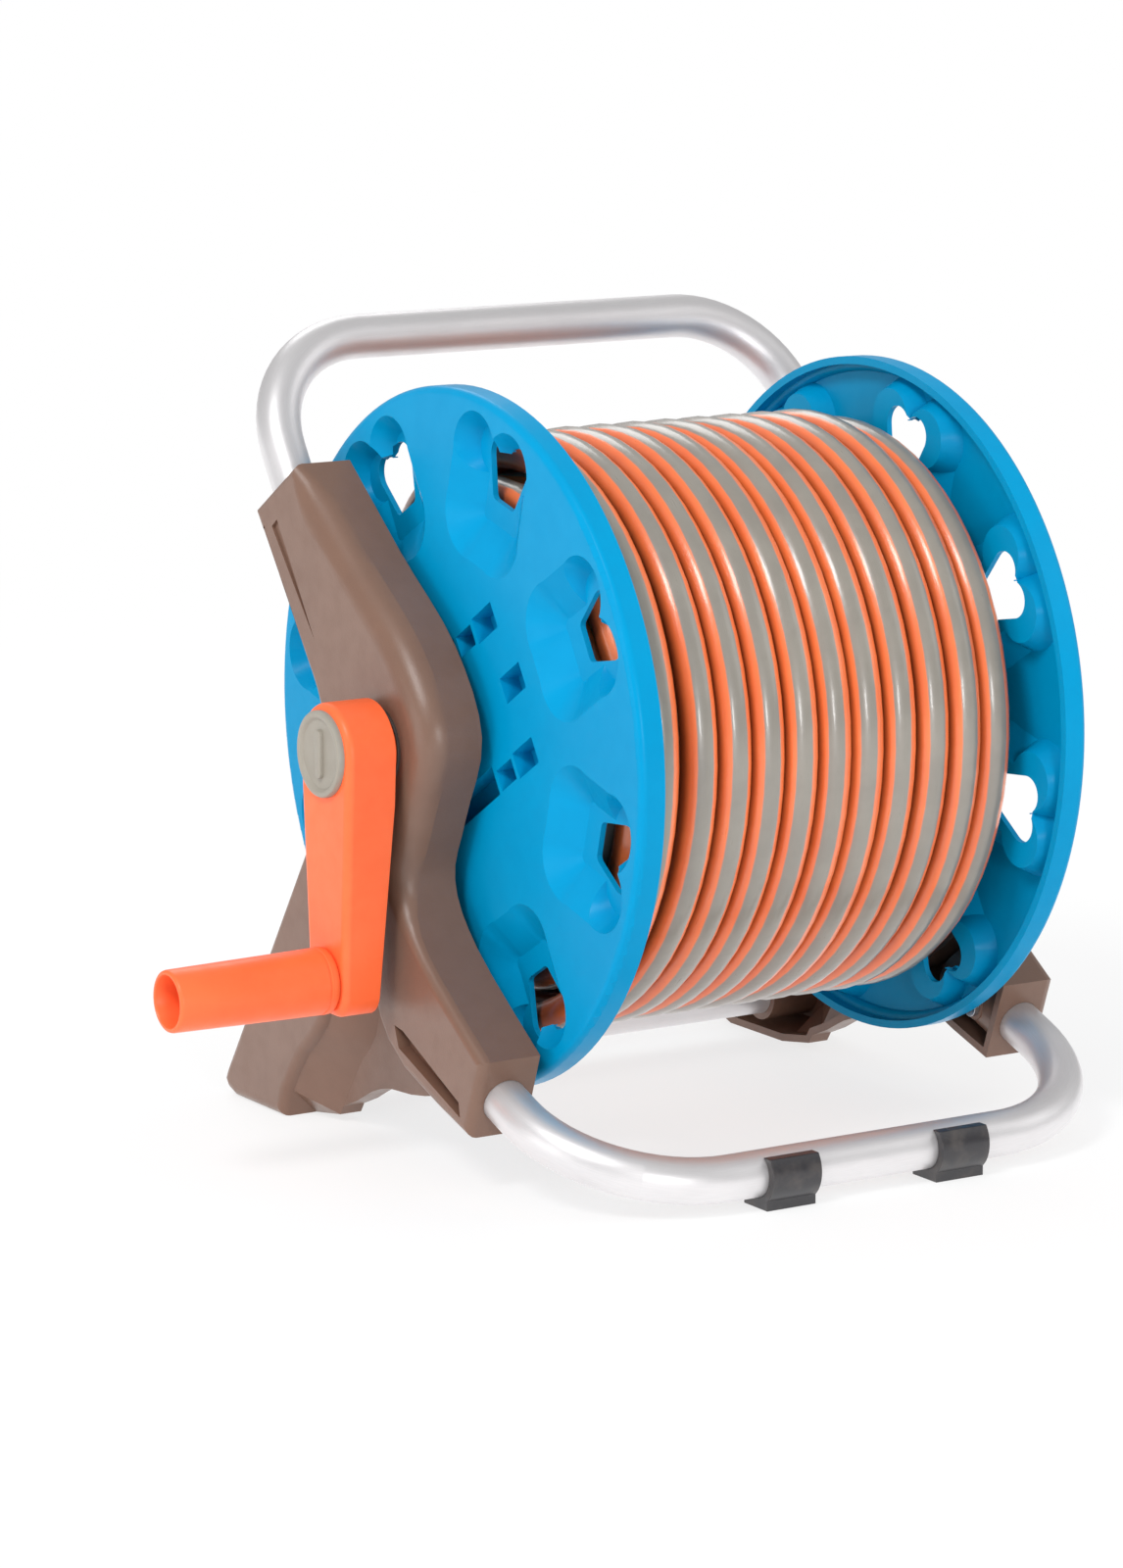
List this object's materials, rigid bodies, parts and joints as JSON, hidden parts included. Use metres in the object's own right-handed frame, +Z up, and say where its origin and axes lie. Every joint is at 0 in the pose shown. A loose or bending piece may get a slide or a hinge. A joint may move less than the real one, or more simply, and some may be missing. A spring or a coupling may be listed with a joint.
{
  "type": "garden hose reel",
  "caption": "Portable garden hose reel: moulded side panels joined by bent tubes carry a crank-driven drum wound with hose.",
  "frame": {"origin": "centre of the overall box, on the floor that the reel stands on", "axes": "+X along the drum axis from the crank to the water inlet, +Y from the operator to the back, +Z up"},
  "size_m": [0.39, 0.2696, 0.301],
  "materials": {
    "panel_brown": "fine matt moulded plastic, taupe brown",
    "tube_aluminium": "satin drawn tube",
    "flange_blue": "semi-gloss moulded plastic, bright blue",
    "crank_orange": "semi-gloss moulded plastic, orange",
    "cap_grey": "matt moulded plastic, warm grey",
    "foot_rubber": "soft black rubber",
    "barrel_black": "matt moulded plastic, near black",
    "bush_nylon": "natural nylon",
    "steel": "zinc-plated steel",
    "fitting_black": "matt moulded plastic, near black",
    "seal_black": "nitrile rubber",
    "hose_pvc": "glossy soft PVC with lengthwise orange and grey bands"
  },
  "bodies": {
    "frame": {"crank_side_panel": "panel_brown", "far_side_panel": "panel_brown", "handle_tube": "tube_aluminium", "front_tube": "tube_aluminium", "rear_tube": "tube_aluminium", "left_foot_clip": "foot_rubber", "right_foot_clip": "foot_rubber", "tube_screws": "steel", "crank_bush": "bush_nylon", "far_bush": "bush_nylon"},
    "drum": {"crank_flange": "flange_blue", "far_flange": "flange_blue", "drum_barrel": "barrel_black", "tie_bolts": "steel", "tie_nuts": "steel", "water_pipe": "fitting_black", "spigot_clip": "steel", "pipe_seals": "seal_black", "hose_tail": "hose_pvc", "hose_clamp": "steel", "hose_core": "hose_pvc", "hose_winding": "hose_pvc", "hose_fitting": "fitting_black", "crank_arm": "crank_orange", "crank_screw": "steel", "crank_cap": "cap_grey", "grip_pin": "steel", "grip_screw": "steel"},
    "grip": {"grip": "crank_orange"},
    "inlet": {"inlet_elbow": "fitting_black", "elbow_clip": "steel", "nipple_seal": "seal_black"}
  },
  "joints": [
    {"name": "drum_spin", "type": "hinge", "parent": "frame", "child": "drum", "pos_m": [0.021, 0.0048, 0.1555], "axis": [1, 0, 0], "continuous": true},
    {"name": "grip_spin", "type": "hinge", "parent": "drum", "child": "grip", "pos_m": [-0.162, 0.0048, 0.0715], "axis": [1, 0, 0], "continuous": true},
    {"name": "inlet_swivel", "type": "hinge", "parent": "frame", "child": "inlet", "pos_m": [0.171, 0.0048, 0.1555], "axis": [1, 0, 0], "continuous": true}
  ]
}
